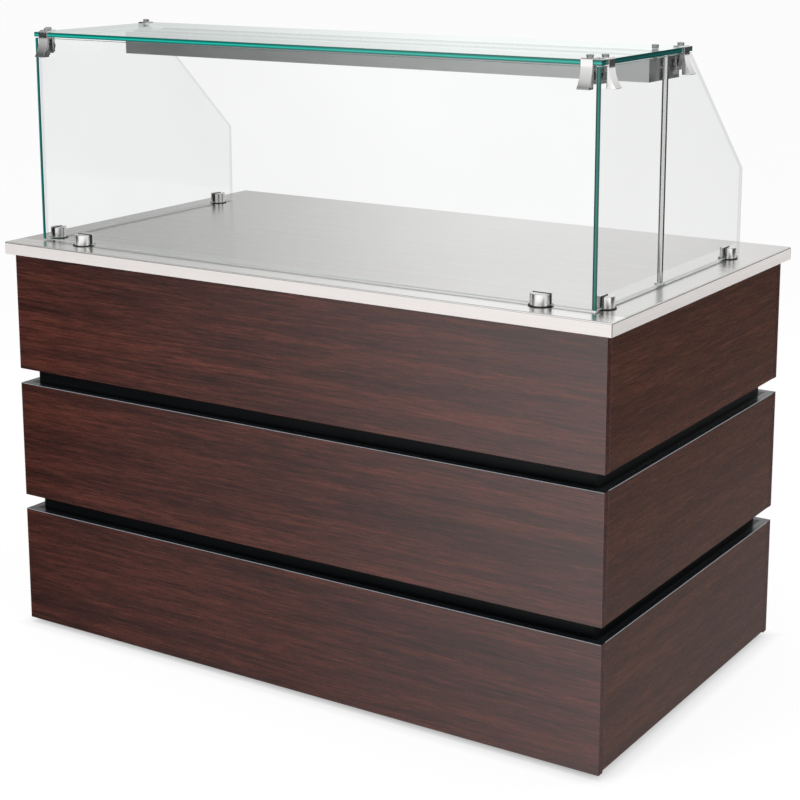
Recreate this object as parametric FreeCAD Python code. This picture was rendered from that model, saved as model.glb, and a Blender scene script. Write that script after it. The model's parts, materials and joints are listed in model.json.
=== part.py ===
import FreeCAD, Part
import math
import os

# Mobile salad bar: a three-tier counter on hidden casters with a stainless top, a glass food guard
# in front and a lamp channel under its level glass shelf.
# Millimetres, +Z up. The origin is on the floor under the centre of the counter top.
# -Y is the guest side, +Y the operator side with the doors, +X the right end of the guest side.

os.makedirs("parts", exist_ok=True)
V = FreeCAD.Vector

# ---- counter top ----
counter_length = 1524.0
counter_depth = 889.0
counter_height = 914.0
lip_height = 28.0
lip_overhang = 16.0          # from the cabinet's faces out to the lip
steel_sheet = 1.5
lip_top_radius = 2.5
lip_corner_radius = 1.5

# ---- cabinet ----
floor_gap = 12.0             # under the lowest tier
reveal_height = 34.0
reveal_depth = 30.0
panel_thickness = 18.0
board_thickness = 18.0
panel_edge_chamfer = 0.8
end_panel_rise = 4.0         # the end panels stop this much above the front panel's lower edge
stile_width = 90.0
mullion_width = 60.0
shelf_height = 352.0         # underside of the shelf
shelf_set_back = 70.0        # from the doors
cleat_height = 22.0
cleat_width = 18.0
door_gap = 3.0               # round the doors
door_meeting_gap = 6.0       # between the two doors, so that their thick edges pass each other
door_rest_gap = 0.5          # behind the closed doors

# ---- door hinges and catches ----
hinge_height = 64.0
hinge_end_distance = 70.0    # from the door's upper and lower edge to the middle of a hinge
leaf_width = 26.0
leaf_thickness = 2.0
leaf_corner = 4.0
leaf_axis_gap = 2.0          # hinge axis to the near edge of a leaf
knuckle_radius = 5.0
hinge_pin_radius = 2.5
knuckle_gap = 0.4
running_clearance = 0.05     # radial, pin or shaft in its hole
fixed_clearance = 0.02       # radial, pin held in its hole
barrel_face_gap = 0.3
catch_height = 46.0
catch_width = 14.0
catch_depth = 15.0
catch_drop = 60.0            # from the doors' upper edge to the middle of a catch
catch_gap = 0.6

# ---- casters ----
wheel_radius = 50.0
hub_half_width = 18.0
hub_radius = 16.0
tyre_inner_radius = 42.0     # where the dished rim meets the tyre
tyre_half_width = 13.0
axle_radius = 6.0
hex_radius = 9.5             # axle heads and kingpin nut, over the corners
hex_height = 4.0
caster_height = 128.0
caster_trail = 38.0
caster_plate_length = 96.0
caster_plate_width = 74.0
caster_plate_thickness = 4.0
caster_plate_corner = 8.0
race_radius = 20.0
race_flare = 4.0
kingpin_radius = 6.0
swivel_gap = 0.4
fork_top = 116.0
fork_plate_thickness = 6.0
fork_plate_reach = 28.0      # yoke plate, ahead of and behind the swivel axis
fork_leg_thickness = 3.5
fork_leg_gap = 1.0           # between hub and leg
fork_eye = 12.0              # leg below and beside the axle
fork_ear = 9.0               # leg round the pedal's pivot
fork_shoulder = 22.0         # how far the leg reaches ahead of the swivel axis
fork_skirt = 12.0            # height of the leg's front edge
caster_wall_distance_x = 112.0   # swivel axis to the inner face of an end wall
caster_wall_distance_y = 116.0   # swivel axis to the inner face of the front wall
pedal_pivot_ahead = 20.0     # from the wheel's axle
pedal_pin_radius = 3.0
pedal_barrel_radius = 7.0
pedal_barrel_gap = 0.6       # pedal barrel to tyre
pedal_half_width = 15.0
pedal_reach = 38.0
pedal_thickness = 4.0
pedal_droop = 4.0
pedal_tread = 8.0
pedal_tread_rise = 2.0

# ---- glass guard ----
guard_height = 470.0         # counter to the top of the glass shelf
upright_thickness = 8.0
shelf_glass_thickness = 10.0
glass_end_inset = 62.0       # end of the counter to the outer face of an end glass
glass_front_inset = 60.0     # front of the counter to the outer face of the front glass
glass_lift = 3.0             # counter to the lower edge of the upright glass
glass_top_gap = 3.0          # upright glass to glass shelf
glass_joint = 1.0            # between front glass and end glass
glass_shelf_overhang = 2.0   # past the upright glass
glass_shelf_depth = 400.0
end_glass_depth = 685.0
end_glass_rear_height = 190.0    # counter to the start of the sloped corner
glass_corner_radius = 6.0

# ---- slotted standoffs on their gaskets ----
front_standoff_radius = 21.5
end_standoff_radius = 17.5
standoff_height = 25.0       # counter to the standoff's top
slot_side_gap = 0.3
gasket_margin = 3.5          # past the standoff all round
gasket_thickness = 1.5
front_standoff_inset = 111.0     # from the front glass's ends
end_standoff_front_inset = 46.5  # from the front glass
end_standoff_rear_inset = 55.5   # from the end glass's rear edge

# ---- glass clamps ----
clamp_width = 25.0
clamp_strap = 3.0            # over the glass shelf and down its edge
clamp_strap_reach = 22.0     # on the glass shelf, from its edge inward
clamp_drop = 44.0            # glass shelf's underside to the jaw's foot
clamp_toe = 20.0             # how far the foot stands out from the upright glass
clamp_toe_height = 1.5
inner_leg_drop = 36.0
inner_leg_thickness = 4.0
inner_leg_gap = 3.0
knob_radius = 9.0
knob_length = 6.0
screw_radius = 3.5
knob_drop = 22.0             # glass shelf's underside to the knob's axis
clamp_cap_radius = 7.0
clamp_cap_height = 6.0
front_clamp_inset = 30.0     # corner of the glass shelf to the middle of a front clamp
end_clamp_front_inset = 35.5
end_clamp_rear_inset = 33.0

# ---- lamp channel, its bolt and its post ----
channel_left_inset = 47.0    # from the left end of the glass shelf
channel_right_inset = 24.0
channel_rear_inset = 8.5
channel_depth = 140.0
channel_height = 50.0
channel_sheet = 1.5
channel_flange = 2.0         # how far the top sheet stands proud at the front and rear
bond_thickness = 2.5
bond_width = 12.0
bond_inset = 14.0
lens_thickness = 3.0
lens_recess = 3.0
lamp_width = 60.0
lamp_height = 9.0
lamp_bevel = 3.0
lamp_end_gap = 34.0
post_radius = 6.0
post_bore_radius = 4.5
post_channel_gap = 1.0
post_from_front = 60.0       # channel's front to the post
post_plug = 12.0             # solid end of the tube under the glass shelf
nipple_radius = 4.0
nipple_drop = 24.0           # below the channel's top
foot_radius = 11.0
foot_height = 2.5
housing_bolt_radius = 4.0
housing_bolt_clearance = 0.5
housing_bolt_head = 8.0
housing_bolt_end_inset = 13.0    # from the channel's right end
housing_bolt_from_front = 53.0


# ---- places that follow from the sizes ----
half_length = counter_length / 2 - lip_overhang
half_depth = counter_depth / 2 - lip_overhang
core_bottom = counter_height - lip_height
tier_height = (core_bottom - floor_gap - 2 * reveal_height) / 3
tier_bottoms = [floor_gap + i * (tier_height + reveal_height) for i in range(3)]   # low, mid, top
carcass_bottom = floor_gap + end_panel_rise
wall_outer_x = half_length - panel_thickness
wall_outer_y = half_depth - panel_thickness
wall_thickness = reveal_depth - panel_thickness + board_thickness
wall_inner_x = wall_outer_x - wall_thickness
wall_inner_y = wall_outer_y - wall_thickness
deck_bottom = caster_height
deck_top = deck_bottom + board_thickness
opening_half_width = wall_outer_x - stile_width
door_top = tier_bottoms[1] + tier_height
door_bottom = floor_gap
door_back = wall_inner_y + door_rest_gap
guard_top = counter_height + guard_height
shelf_glass_bottom = guard_top - shelf_glass_thickness
upright_bottom = counter_height + glass_lift
upright_top = shelf_glass_bottom - glass_top_gap
end_glass_outer = counter_length / 2 - glass_end_inset
front_glass_outer = -counter_depth / 2 + glass_front_inset
front_half_length = end_glass_outer - upright_thickness - glass_joint
end_glass_rear = front_glass_outer + end_glass_depth
shelf_glass_half = end_glass_outer + glass_shelf_overhang
shelf_glass_front = front_glass_outer - glass_shelf_overhang
shelf_glass_rear = shelf_glass_front + glass_shelf_depth
channel_left_x = -shelf_glass_half + channel_left_inset
channel_right_x = shelf_glass_half - channel_right_inset
channel_rear_y = shelf_glass_rear - channel_rear_inset
channel_front_y = channel_rear_y - channel_depth
channel_top = shelf_glass_bottom - bond_thickness
channel_bottom = channel_top - channel_height
post_x = channel_right_x + post_channel_gap + post_radius
post_y = channel_front_y + post_from_front


# ---- helpers ----
def block(x0, x1, y0, y1, z0, z1):
    low = V(min(x0, x1), min(y0, y1), min(z0, z1))
    return Part.makeBox(abs(x1 - x0), abs(y1 - y0), abs(z1 - z0), low)


def cylinder(radius, height, base, axis=V(0, 0, 1)):
    return Part.makeCylinder(radius, height, base, axis)


def hexagon(radius, height, base, axis=V(0, 0, 1)):
    prism = Part.Face(Part.makePolygon([V(radius * math.cos(math.radians(60 * i)),
                                          radius * math.sin(math.radians(60 * i)), 0) for i in range(7)]))
    prism = prism.extrude(V(0, 0, height))
    prism.Placement = FreeCAD.Placement(base, FreeCAD.Rotation(V(0, 0, 1), axis))
    return prism


def outline_face(points):
    wire = Part.makePolygon(points + [points[0]])
    return Part.Face(wire)


def edge_loop_face(edges):
    return Part.Face(Part.Wire(edges))


def arc(a, middle, b):
    return Part.Arc(a, middle, b).toShape()


def line(a, b):
    return Part.LineSegment(a, b).toShape()


def edges_along(shape, axis):
    found = []
    for edge in shape.Edges:
        if len(edge.Vertexes) == 2:
            run = edge.Vertexes[1].Point - edge.Vertexes[0].Point
            if run.Length > 0 and abs(abs(run.dot(axis)) - run.Length) < 1e-6:
                found.append(edge)
    return found


def turned(shape, degrees, place):
    copy = shape.copy()
    copy.rotate(V(0, 0, 0), V(0, 0, 1), degrees)
    copy.translate(place)
    return copy


def mirrored_x(shape):
    return shape.mirror(V(0, 0, 0), V(1, 0, 0))


def save(name, solids):
    if not isinstance(solids, list):
        solids = [solids]
    shape = solids[0] if len(solids) == 1 else Part.makeCompound(solids)
    for solid in shape.Solids:
        if not solid.isValid():
            print("not valid:", name)
    shape.exportStep("parts/" + name + ".step")
    print("%-22s %2d solids  %.0f mm3" % (name, len(shape.Solids), shape.Volume))


def facing_panel(x0, x1, y0, y1, z0, z1, outward):
    """Laminate-faced board whose outer face has a fine chamfer all round."""
    panel = block(x0, x1, y0, y1, z0, z1)
    for face in panel.Faces:
        if (face.normalAt(0, 0) - outward).Length < 1e-6:
            return panel.makeChamfer(panel_edge_chamfer, face.Edges)
    return panel


# ---- counter top: a sheet with a rounded rim on a board, and four lip strips that meet at the corners ----
def counter_pieces():
    pan = block(-counter_length / 2, counter_length / 2, -counter_depth / 2, counter_depth / 2,
                core_bottom, counter_height)
    pan = pan.makeFillet(lip_corner_radius, edges_along(pan, V(0, 0, 1)))
    rim = [e for e in pan.Edges if abs(e.BoundBox.ZMin - counter_height) < 1e-6]
    pan = pan.makeFillet(lip_top_radius, rim)
    inner_x = counter_length / 2 - steel_sheet
    inner_y = counter_depth / 2 - steel_sheet
    core = block(-inner_x, inner_x, -inner_y, inner_y, core_bottom, counter_height - steel_sheet)
    core = core.makeFillet(lip_top_radius - steel_sheet, [
        e for e in core.Edges if abs(e.BoundBox.ZMin - (counter_height - steel_sheet)) < 1e-6])
    pan = pan.cut(core)
    seam = counter_height - lip_top_radius
    sheet = pan.common(block(-counter_length, counter_length, -counter_depth, counter_depth, seam, counter_height))
    strips = []
    for side in (-1, 1):
        long_strip = block(-counter_length, counter_length, side * inner_y, side * counter_depth, core_bottom, seam)
        end_strip = block(side * inner_x, side * counter_length, -inner_y, inner_y, core_bottom, seam)
        strips += [pan.common(long_strip), pan.common(end_strip)]
    return sheet, strips, core


sheet, lip_strips, core = counter_pieces()
wire_hole = cylinder(post_bore_radius, lip_height, V(post_x, post_y, core_bottom))
save("counter_top", [sheet.cut(wire_hole)] + lip_strips)
save("counter_core", core.cut(wire_hole))


# ---- cabinet: built-up boards behind each tier, thinner rails behind the reveals ----
def tiered(x0, x1, y0, y1, tiers=3):
    """Boards for the lowest tiers and the rails between them, clipped back from the reveals' mouths."""
    deep_x = half_length - reveal_depth
    deep_y = half_depth - reveal_depth
    pieces = []
    for i in range(tiers):
        low = max(tier_bottoms[i], carcass_bottom)
        pieces.append(block(x0, x1, y0, y1, low, tier_bottoms[i] + tier_height))
        if i < tiers - 1:
            pieces.append(block(max(x0, -deep_x), min(x1, deep_x), max(y0, -deep_y), min(y1, deep_y),
                                tier_bottoms[i] + tier_height, tier_bottoms[i + 1]))
    return pieces


def all_mirrored(shapes):
    return [mirrored_x(s) for s in shapes]


save("front_wall", tiered(-wall_outer_x, wall_outer_x, -wall_outer_y, -wall_inner_y))
right_wall = tiered(wall_inner_x, wall_outer_x, -wall_inner_y, wall_inner_y)
save("right_wall", right_wall)
save("left_wall", all_mirrored(right_wall))
right_stile = tiered(opening_half_width, wall_outer_x, wall_inner_y, wall_outer_y)
save("right_stile", right_stile)
save("left_stile", all_mirrored(right_stile))

tier_names = ["low", "mid", "top"]
end_panels = []
stile_facings = []
for name, z0 in zip(tier_names, tier_bottoms):
    z1 = z0 + tier_height
    save("front_panel_" + name, facing_panel(-half_length, half_length, -half_depth, -wall_outer_y,
                                             z0, z1, V(0, -1, 0)))
    end_z0 = z0 + (end_panel_rise if name == "low" else 0)
    end_panels.append(facing_panel(wall_outer_x, half_length, -wall_outer_y, wall_outer_y,
                                   end_z0, z1, V(1, 0, 0)))
    facing = facing_panel(opening_half_width, half_length, wall_outer_y, half_depth, z0, z1, V(0, 1, 0))
    stile_facings += [facing, mirrored_x(facing)]
save("right_panels", end_panels)
save("left_panels", all_mirrored(end_panels))
save("stile_facings", stile_facings)

# the fixed top tier between the stiles on the operator side
rail_bottom = door_top + door_gap
save("rear_rail", block(-opening_half_width, opening_half_width, wall_inner_y, half_depth - reveal_depth,
                        rail_bottom, core_bottom))
save("rear_rail_facing", facing_panel(-opening_half_width, opening_half_width, half_depth - reveal_depth,
                                      half_depth, tier_bottoms[2], core_bottom, V(0, 1, 0)))
mullion = block(-mullion_width / 2, mullion_width / 2, wall_inner_y - board_thickness, wall_inner_y,
                deck_top, core_bottom)
save("door_mullion", mullion)

# ---- deck, shelf and cleats ----
save("base_deck", block(-wall_inner_x, wall_inner_x, -wall_inner_y, wall_inner_y, deck_bottom, deck_top))
save("shelf", block(-wall_inner_x, wall_inner_x, -wall_inner_y, wall_inner_y - shelf_set_back,
                    shelf_height, shelf_height + board_thickness))
cleat_bottom = shelf_height - cleat_height
end_cleat = block(wall_inner_x - cleat_width, wall_inner_x, -wall_inner_y + cleat_width,
                  wall_inner_y - shelf_set_back, cleat_bottom, shelf_height)
front_cleat = block(-wall_inner_x, wall_inner_x, -wall_inner_y, -wall_inner_y + cleat_width,
                    cleat_bottom, shelf_height)
save("shelf_cleats", [front_cleat, end_cleat, mirrored_x(end_cleat)])

# ---- doors ----
door_outer_x = opening_half_width - door_gap
door_inner_x = door_meeting_gap / 2
right_door = tiered(door_inner_x, door_outer_x, door_back, wall_outer_y, tiers=2)
door_facings = [facing_panel(door_inner_x, door_outer_x, wall_outer_y, half_depth, z0, z0 + tier_height,
                             V(0, 1, 0)) for z0 in tier_bottoms[:2]]
save("right_door_board", right_door)
save("left_door_board", all_mirrored(right_door))
save("right_door_facings", door_facings)
save("left_door_facings", all_mirrored(door_facings))

# ---- lift-off hinges: the door's knuckle sits over the fixed one, just clear of the doors' faces ----
hinge_x = opening_half_width - door_gap / 2
hinge_y = half_depth + barrel_face_gap + knuckle_radius
hinge_levels = [door_bottom + hinge_end_distance + hinge_height / 2,
                door_top - hinge_end_distance - hinge_height / 2]
knuckle_length = (hinge_height - knuckle_gap) / 2


def hinge_leaf(middle_z, side, upper):
    """One leaf on the face beside the pin; side is +1 away from the door, -1 on the door."""
    bottom = middle_z - hinge_height / 2
    leaf = block(hinge_x + side * leaf_axis_gap, hinge_x + side * (leaf_axis_gap + leaf_width),
                 half_depth, half_depth + leaf_thickness, bottom, bottom + hinge_height)
    leaf = leaf.makeChamfer(leaf_corner, [e for e in edges_along(leaf, V(0, 1, 0))
                                          if abs(e.BoundBox.XMin - hinge_x) > leaf_width / 2])
    own_z = bottom + (knuckle_length + knuckle_gap if upper else 0)
    other_z = bottom + (-knuckle_gap if upper else knuckle_length)
    relief = cylinder(knuckle_radius + knuckle_gap, knuckle_length + 2 * knuckle_gap, V(hinge_x, hinge_y, other_z))
    barrel = cylinder(knuckle_radius, knuckle_length, V(hinge_x, hinge_y, own_z))
    web = block(hinge_x, hinge_x + side * (leaf_axis_gap + leaf_thickness), half_depth + barrel_face_gap,
                half_depth + leaf_thickness, own_z, own_z + knuckle_length)
    hole = cylinder(hinge_pin_radius + (running_clearance if upper else fixed_clearance), knuckle_length,
                    V(hinge_x, hinge_y, own_z))
    return leaf.cut(relief).fuse([barrel, web]).cut(hole).removeSplitter()


def hinge_pin(middle_z):
    return cylinder(hinge_pin_radius, hinge_height, V(hinge_x, hinge_y, middle_z - hinge_height / 2))


fixed_leaves = [hinge_leaf(z, 1, False) for z in hinge_levels]
door_leaves = [hinge_leaf(z, -1, True) for z in hinge_levels]
pins = [hinge_pin(z) for z in hinge_levels]
save("hinge_leaves", fixed_leaves + all_mirrored(fixed_leaves))
save("hinge_pins", pins + all_mirrored(pins))
save("right_door_leaves", door_leaves)
save("left_door_leaves", all_mirrored(door_leaves))

# magnetic catches on the sides of the mullion
catch_z = door_top - catch_drop
catch = block(mullion_width / 2, mullion_width / 2 + catch_width,
              door_back - catch_gap - catch_depth, door_back - catch_gap,
              catch_z - catch_height / 2, catch_z + catch_height / 2)
save("magnet_catches", [catch, mirrored_x(catch)])


# ---- casters: each is drawn with its swivel axis on Z and trailing along +X, then put in place ----
pedal_pivot = V(caster_trail + pedal_pivot_ahead, 0, wheel_radius + math.sqrt(
    (wheel_radius + pedal_barrel_gap + pedal_barrel_radius) ** 2 - pedal_pivot_ahead ** 2))
axle_middle = V(caster_trail, 0, wheel_radius)


def caster_plate():
    """Top plate with the flared race under it and the kingpin with its nut."""
    plate = block(-caster_plate_length / 2, caster_plate_length / 2, -caster_plate_width / 2,
                  caster_plate_width / 2, caster_height - caster_plate_thickness, caster_height)
    plate = plate.makeChamfer(caster_plate_corner, edges_along(plate, V(0, 0, 1)))
    race_bottom = fork_top + swivel_gap
    race = Part.makeCone(race_radius, race_radius + race_flare,
                         caster_height - caster_plate_thickness - race_bottom, V(0, 0, race_bottom))
    nut_top = fork_top - fork_plate_thickness - swivel_gap
    pin = cylinder(kingpin_radius, race_bottom - nut_top, V(0, 0, nut_top))
    nut = hexagon(hex_radius, hex_height, V(0, 0, nut_top - hex_height))
    return plate.fuse([race, pin, nut]).removeSplitter()


def caster_fork():
    """Pressed yoke: a plate under the race with two flat legs, and the axle and pivot pin riveted into them."""
    inner = hub_half_width + fork_leg_gap
    span = 2 * (inner + fork_leg_thickness)
    axle_x, axle_z = axle_middle.x, axle_middle.z
    half_eye = fork_eye / 2
    outline = [(-fork_shoulder, fork_top), (-fork_shoulder, fork_top - fork_skirt),
               (axle_x - fork_eye, axle_z - half_eye), (axle_x - half_eye, axle_z - fork_eye),
               (axle_x + half_eye, axle_z - fork_eye), (axle_x + fork_eye, axle_z - half_eye),
               (pedal_pivot.x + fork_ear, pedal_pivot.z - fork_ear), (pedal_pivot.x + fork_ear, pedal_pivot.z + fork_ear / 2),
               (pedal_pivot.x + fork_ear / 2, pedal_pivot.z + fork_ear), (axle_x, fork_top)]
    side = outline_face([V(x, 0, z) for x, z in outline])
    fork = block(-fork_plate_reach, fork_plate_reach, -span / 2, span / 2, fork_top - fork_plate_thickness, fork_top)
    for y in (inner, -inner - fork_leg_thickness):
        leg = side.extrude(V(0, fork_leg_thickness, 0))
        leg.translate(V(0, y, 0))
        fork = fork.fuse(leg)
    along = V(0, span, 0)
    fork = fork.cut(cylinder(kingpin_radius + running_clearance, fork_plate_thickness,
                             V(0, 0, fork_top - fork_plate_thickness)))
    axle = cylinder(axle_radius, span, axle_middle - along / 2, along)
    heads = [hexagon(hex_radius, hex_height, axle_middle + along * (end / 2), along * end) for end in (1, -1)]
    pivot_pin = cylinder(pedal_pin_radius, span, pedal_pivot - along / 2, along)
    return fork.fuse([axle, pivot_pin] + heads).removeSplitter()


def caster_wheel():
    """Turned about the axle: hub, a dished rim and a flat tyre."""
    half = [(axle_radius + running_clearance, hub_half_width), (hub_radius, hub_half_width),
            (tyre_inner_radius, tyre_half_width), (wheel_radius, tyre_half_width)]
    outline = [V(r, y, 0) for r, y in half] + [V(r, -y, 0) for r, y in reversed(half)]
    wheel = outline_face(outline).revolve(V(0, 0, 0), V(0, 1, 0), 360)
    wheel.translate(axle_middle)
    return wheel


def brake_pedal():
    """Cam barrel on the pivot pin with a foot plate that reaches out past the fork."""
    across = V(0, 2 * pedal_half_width, 0)
    barrel = cylinder(pedal_barrel_radius, across.Length, pedal_pivot - across / 2, across)
    start = pedal_pivot + V(0, 0, pedal_barrel_radius)
    tip = pedal_pivot + V(pedal_reach, 0, -pedal_droop)
    drop = V(0, 0, -pedal_thickness)
    arm = outline_face([start, tip, tip + drop, pedal_pivot + V(pedal_pin_radius + 1, 0, 0)]).extrude(across)
    arm.translate(across / -2)
    tread = block(tip.x - pedal_tread, tip.x, -pedal_half_width, pedal_half_width, tip.z - pedal_thickness,
                  tip.z + pedal_tread_rise)
    hole = cylinder(pedal_pin_radius + running_clearance, across.Length, pedal_pivot - across / 2, across)
    return barrel.fuse([arm, tread]).cut(hole).removeSplitter()


caster_x = wall_inner_x - caster_wall_distance_x
caster_y = wall_inner_y - caster_wall_distance_y
caster_places = {"front_left": V(-caster_x, -caster_y, 0), "front_right": V(caster_x, -caster_y, 0),
                 "rear_left": V(-caster_x, caster_y, 0), "rear_right": V(caster_x, caster_y, 0)}
trailing = 90.0              # the wheels trail towards the operator side

plate = caster_plate()
fork = caster_fork()
wheel = caster_wheel()
pedal = brake_pedal()
save("caster_plates", [turned(plate, trailing, place) for place in caster_places.values()])
for name, place in caster_places.items():
    save("fork_" + name, turned(fork, trailing, place))
    save("wheel_" + name, turned(wheel, trailing, place))
    if name.startswith("rear"):
        save("brake_pedal_" + name, turned(pedal, trailing, place))


# ---- glass guard ----
def glass_sheet(points, thickness_vector, along):
    sheet = outline_face(points).extrude(thickness_vector)
    return sheet.makeFillet(glass_corner_radius, edges_along(sheet, along))


front_glass = glass_sheet([V(-front_half_length, front_glass_outer, upright_bottom),
                           V(front_half_length, front_glass_outer, upright_bottom),
                           V(front_half_length, front_glass_outer, upright_top),
                           V(-front_half_length, front_glass_outer, upright_top)],
                          V(0, upright_thickness, 0), V(0, 1, 0))
save("front_glass", front_glass)

slope_start = counter_height + end_glass_rear_height
right_glass = glass_sheet([V(end_glass_outer, front_glass_outer, upright_bottom),
                           V(end_glass_outer, end_glass_rear, upright_bottom),
                           V(end_glass_outer, end_glass_rear, slope_start),
                           V(end_glass_outer, shelf_glass_rear, upright_top),
                           V(end_glass_outer, front_glass_outer, upright_top)],
                          V(-upright_thickness, 0, 0), V(1, 0, 0))
save("right_glass", right_glass)
save("left_glass", mirrored_x(right_glass))

top_glass = glass_sheet([V(-shelf_glass_half, shelf_glass_front, shelf_glass_bottom),
                         V(shelf_glass_half, shelf_glass_front, shelf_glass_bottom),
                         V(shelf_glass_half, shelf_glass_rear, shelf_glass_bottom),
                         V(-shelf_glass_half, shelf_glass_rear, shelf_glass_bottom)],
                        V(0, 0, shelf_glass_thickness), V(0, 0, 1))
bolt_place = V(channel_right_x - housing_bolt_end_inset, channel_front_y + housing_bolt_from_front, guard_top)
bolt_hole = cylinder(housing_bolt_radius + housing_bolt_clearance, shelf_glass_thickness,
                     bolt_place - V(0, 0, shelf_glass_thickness))
save("top_glass", top_glass.cut(bolt_hole))


def standoff(radius):
    """Round post with a slot along Y for the glass, drawn on the Z axis."""
    foot = counter_height + gasket_thickness
    body = cylinder(radius, counter_height + standoff_height - foot, V(0, 0, foot))
    slot_half = upright_thickness / 2 + slot_side_gap
    slot = block(-slot_half, slot_half, -2 * radius, 2 * radius, upright_bottom, counter_height + 2 * standoff_height)
    return body.cut(slot)


def gasket(radius):
    return cylinder(radius + gasket_margin, gasket_thickness, V(0, 0, counter_height))


front_middle_y = front_glass_outer + upright_thickness / 2
end_middle_x = end_glass_outer - upright_thickness / 2
front_standoff_x = front_half_length - front_standoff_inset
front_places = [V(x, front_middle_y, 0) for x in (-front_standoff_x, front_standoff_x)]
right_places = [V(end_middle_x, y, 0) for y in (front_glass_outer + end_standoff_front_inset,
                                                end_glass_rear - end_standoff_rear_inset)]
front_standoff = standoff(front_standoff_radius)
end_standoff = standoff(end_standoff_radius)
right_standoffs = [turned(end_standoff, 0, p) for p in right_places]
front_gaskets = [turned(gasket(front_standoff_radius), 0, p) for p in front_places]
end_gaskets = [turned(gasket(end_standoff_radius), 0, p) for p in right_places]
save("front_standoffs", [turned(front_standoff, 90, p) for p in front_places])
save("right_standoffs", right_standoffs)
save("left_standoffs", all_mirrored(right_standoffs))
save("standoff_rings", front_gaskets + end_gaskets + all_mirrored(end_gaskets))


# ---- glass clamps: drawn with the upright glass's outer face on the YZ plane, outward along +X ----
def clamp_body():
    """Strap over the glass shelf's edge, a jaw that swoops out to a toe, and an inner leg for the screw."""
    edge = glass_shelf_overhang
    outer = edge + clamp_strap
    strap_top = guard_top + clamp_strap
    toe_bottom = shelf_glass_bottom - clamp_drop
    toe_top = toe_bottom + clamp_toe_height
    leg_outer = -upright_thickness - inner_leg_gap
    leg_inner = leg_outer - inner_leg_thickness
    leg_bottom = shelf_glass_bottom - inner_leg_drop
    strap_end = edge - clamp_strap_reach

    # the jaw's outer face starts upright at the glass shelf's underside and ends at the toe
    run = clamp_toe - outer
    fall = shelf_glass_bottom - toe_top
    swoop_radius = (run ** 2 + fall ** 2) / (2 * run)
    half_turn = math.asin(fall / swoop_radius) / 2
    swoop_middle = (outer + swoop_radius * (1 - math.cos(half_turn)),
                    shelf_glass_bottom - swoop_radius * math.sin(half_turn))
    bend = clamp_strap * math.sqrt(0.5)

    def p(x, z):
        return V(x, 0, z)

    edges = [line(p(strap_end, guard_top), p(strap_end, strap_top)),
             line(p(strap_end, strap_top), p(edge, strap_top)),
             arc(p(edge, strap_top), p(edge + bend, guard_top + bend), p(outer, guard_top)),
             line(p(outer, guard_top), p(outer, shelf_glass_bottom)),
             arc(p(outer, shelf_glass_bottom), p(*swoop_middle), p(clamp_toe, toe_top)),
             line(p(clamp_toe, toe_top), p(clamp_toe - clamp_toe_height, toe_bottom)),
             line(p(clamp_toe - clamp_toe_height, toe_bottom), p(0, toe_bottom)),
             line(p(0, toe_bottom), p(0, upright_top)),
             line(p(0, upright_top), p(leg_outer, upright_top)),
             line(p(leg_outer, upright_top), p(leg_outer, leg_bottom)),
             line(p(leg_outer, leg_bottom), p(leg_inner, leg_bottom)),
             line(p(leg_inner, leg_bottom), p(leg_inner, shelf_glass_bottom)),
             line(p(leg_inner, shelf_glass_bottom), p(edge, shelf_glass_bottom)),
             line(p(edge, shelf_glass_bottom), p(edge, guard_top)),
             line(p(edge, guard_top), p(strap_end, guard_top))]
    body = edge_loop_face(edges).extrude(V(0, clamp_width, 0))
    body.translate(V(0, -clamp_width / 2, 0))
    hole = cylinder(screw_radius + fixed_clearance, inner_leg_thickness,
                    V(leg_inner, 0, shelf_glass_bottom - knob_drop), V(1, 0, 0))
    return body.cut(hole)


def clamp_knob():
    """Screw and knob in one turned piece, on the inner side of the glass."""
    glass_face = -upright_thickness
    leg_inner = glass_face - inner_leg_gap - inner_leg_thickness
    level = shelf_glass_bottom - knob_drop
    screw = cylinder(screw_radius, glass_face - leg_inner, V(leg_inner, 0, level), V(1, 0, 0))
    knob = cylinder(knob_radius, knob_length, V(leg_inner - knob_length, 0, level), V(1, 0, 0))
    return screw.fuse(knob)


def clamp_cap():
    """Head of the screw that holds the strap down on the glass shelf."""
    strap_middle = glass_shelf_overhang - clamp_strap_reach / 2
    return cylinder(clamp_cap_radius, clamp_cap_height, V(strap_middle, 0, guard_top + clamp_strap))


front_clamp_x = shelf_glass_half - front_clamp_inset
end_clamp_ys = (shelf_glass_front + end_clamp_front_inset, shelf_glass_rear - end_clamp_rear_inset)
clamp_sets = {"front": [(-90, V(-front_clamp_x, front_glass_outer, 0)), (-90, V(front_clamp_x, front_glass_outer, 0))],
              "right": [(0, V(end_glass_outer, y, 0)) for y in end_clamp_ys],
              "left": [(180, V(-end_glass_outer, y, 0)) for y in end_clamp_ys]}
body = clamp_body()
knob = clamp_knob()
cap = clamp_cap()
knobs = []
caps = []
for name, places in clamp_sets.items():
    save(name + "_clamps", [turned(body, angle, place) for angle, place in places])
    knobs += [turned(knob, angle, place) for angle, place in places]
    caps += [turned(cap, angle, place) for angle, place in places]
save("clamp_knobs", knobs)
save("clamp_caps", caps)

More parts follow.
